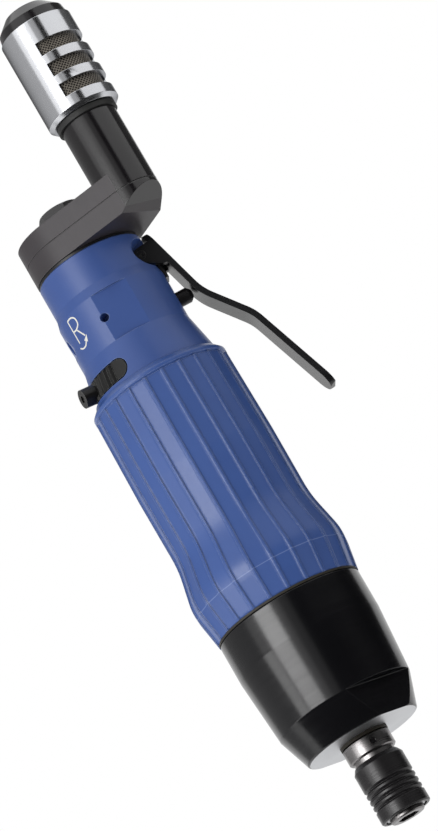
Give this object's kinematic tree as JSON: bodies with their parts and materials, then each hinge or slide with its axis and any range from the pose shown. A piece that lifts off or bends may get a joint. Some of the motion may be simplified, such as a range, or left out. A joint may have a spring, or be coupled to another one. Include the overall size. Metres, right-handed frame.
{
  "type": "oil pulse screwdriver",
  "caption": "Straight air-driven oil pulse screwdriver with a lever throttle, ribbed grip, quick-change hex bit socket, reversing slide and a swivelling inlet arm with a turning silencer.",
  "frame": {"origin": "centre of the bit socket's mouth, on the spindle's axis", "axes": "+Z along the spindle from the bit to the rear; the throttle lever is on +X; the inlet's riser stands on the +X -Y side, parallel to Z"},
  "size_m": [0.075, 0.0599, 0.2807],
  "materials": {
    "nose_steel": "dark phosphated",
    "bright_steel": "ground",
    "spring_steel": "drawn wire",
    "black_housing": "glossy black paint",
    "blue_head": "satin blue paint",
    "blue_grip": "satin moulded grip",
    "black_anodised": "satin black anodised",
    "black_plastic": "satin",
    "silencer_metal": "satin clear anodised",
    "mesh": "woven wire",
    "brass": "turned",
    "fibre": "resin-bonded vane material",
    "rubber": "seal",
    "felt": "olive gasket",
    "cast_iron": "machined"
  },
  "bodies": {
    "housing": {"pulse_housing": "black_housing", "nose_bush": "brass", "dust_ring": "felt", "joint_ring": "felt", "grip": "blue_grip", "handle_body": "blue_head", "front_outer_race": "bright_steel", "rear_outer_race": "bright_steel", "front_end_plate": "cast_iron", "rear_end_plate": "cast_iron", "motor_cylinder": "cast_iron", "cylinder_dowel": "bright_steel", "motor_clamp_ring": "bright_steel", "valve_spacer": "black_plastic", "throttle_bush": "brass", "bush_o_ring": "rubber", "valve_spring": "spring_steel", "supply_strainer": "mesh", "port_plug": "blue_head", "lever_stop": "black_plastic", "lever_pin": "bright_steel", "detent_ball": "bright_steel", "detent_spring": "spring_steel", "swivel_bolt": "nose_steel", "swivel_washer": "black_plastic"},
    "motor": {"pulse_case": "bright_steel", "pulse_liner": "bright_steel", "front_liner_plate": "bright_steel", "rear_liner_plate": "bright_steel", "case_cover": "bright_steel", "cover_screws": "bright_steel", "case_o_ring": "rubber", "rotor": "bright_steel", "rotor_vanes": "fibre", "front_inner_race": "bright_steel", "rear_inner_race": "bright_steel"},
    "anvil": {"anvil_shaft": "nose_steel", "driving_blades": "bright_steel", "blade_springs": "spring_steel", "retaining_ball": "bright_steel", "anvil_collar": "nose_steel", "collar_pin": "bright_steel", "shaft_o_ring": "rubber", "sleeve_washer": "bright_steel", "snap_ring": "spring_steel", "sleeve_spring": "spring_steel"},
    "bit_sleeve": {"bit_sleeve": "nose_steel"},
    "lever": {"throttle_lever": "black_plastic"},
    "push_pin": {"push_pin": "bright_steel", "throttle_valve": "black_plastic"},
    "reverse": {"reverse_slider": "black_plastic", "reverse_knob": "nose_steel", "reverse_valve": "black_plastic"},
    "swivel_arm": {"swivel_arm": "black_anodised", "inlet_pipe": "bright_steel", "inlet_bushing": "black_anodised", "inlet_strainer": "mesh", "sleeve_collar": "rubber"},
    "silencer": {"silencer_sleeve": "silencer_metal", "silencer_mesh": "mesh"}
  },
  "joints": [
    {"name": "motor_spin", "type": "hinge", "parent": "housing", "child": "motor", "pos_m": [0, 0, 0.1155], "axis": [0, 0, 1], "continuous": true},
    {"name": "anvil_spin", "type": "hinge", "parent": "housing", "child": "anvil", "pos_m": [0, 0, 0.03565], "axis": [0, 0, 1], "continuous": true},
    {"name": "bit_sleeve_slide", "type": "slide", "parent": "anvil", "child": "bit_sleeve", "axis": [0, 0, -1], "range_m": [0, 0.0035], "stiffness_N_per_m": 800, "springref_m": -0.004, "deforming": ["sleeve_spring"]},
    {"name": "throttle_lever_swing", "type": "hinge", "parent": "housing", "child": "lever", "pos_m": [0.0151, 0, 0.1968], "axis": [0, 1, 0], "range_deg": [0, 9], "stiffness_Nm_per_rad": 0.8, "springref_deg": -8.59},
    {"name": "throttle_push", "type": "slide", "parent": "housing", "child": "push_pin", "axis": [-1, 0, 0], "range_m": [0, 0.0034], "deforming": ["valve_spring"]},
    {"name": "reverse_turn", "type": "hinge", "parent": "housing", "child": "reverse", "pos_m": [0, 0, 0.16365], "axis": [0, 0, -1], "range_deg": [0, 30]},
    {"name": "arm_swivel", "type": "hinge", "parent": "housing", "child": "swivel_arm", "pos_m": [0, 0, 0.211], "axis": [0, 0, 1], "continuous": true},
    {"name": "silencer_turn", "type": "hinge", "parent": "swivel_arm", "child": "silencer", "pos_m": [0.01971, -0.02114, 0.257], "axis": [0, 0, 1], "continuous": true}
  ],
  "couplings": [
    {"joint": "anvil_spin", "follows": "motor_spin", "ratio": 1},
    {"joint": "throttle_push", "follows": "throttle_lever_swing", "m_per_rad": 0.0206}
  ]
}
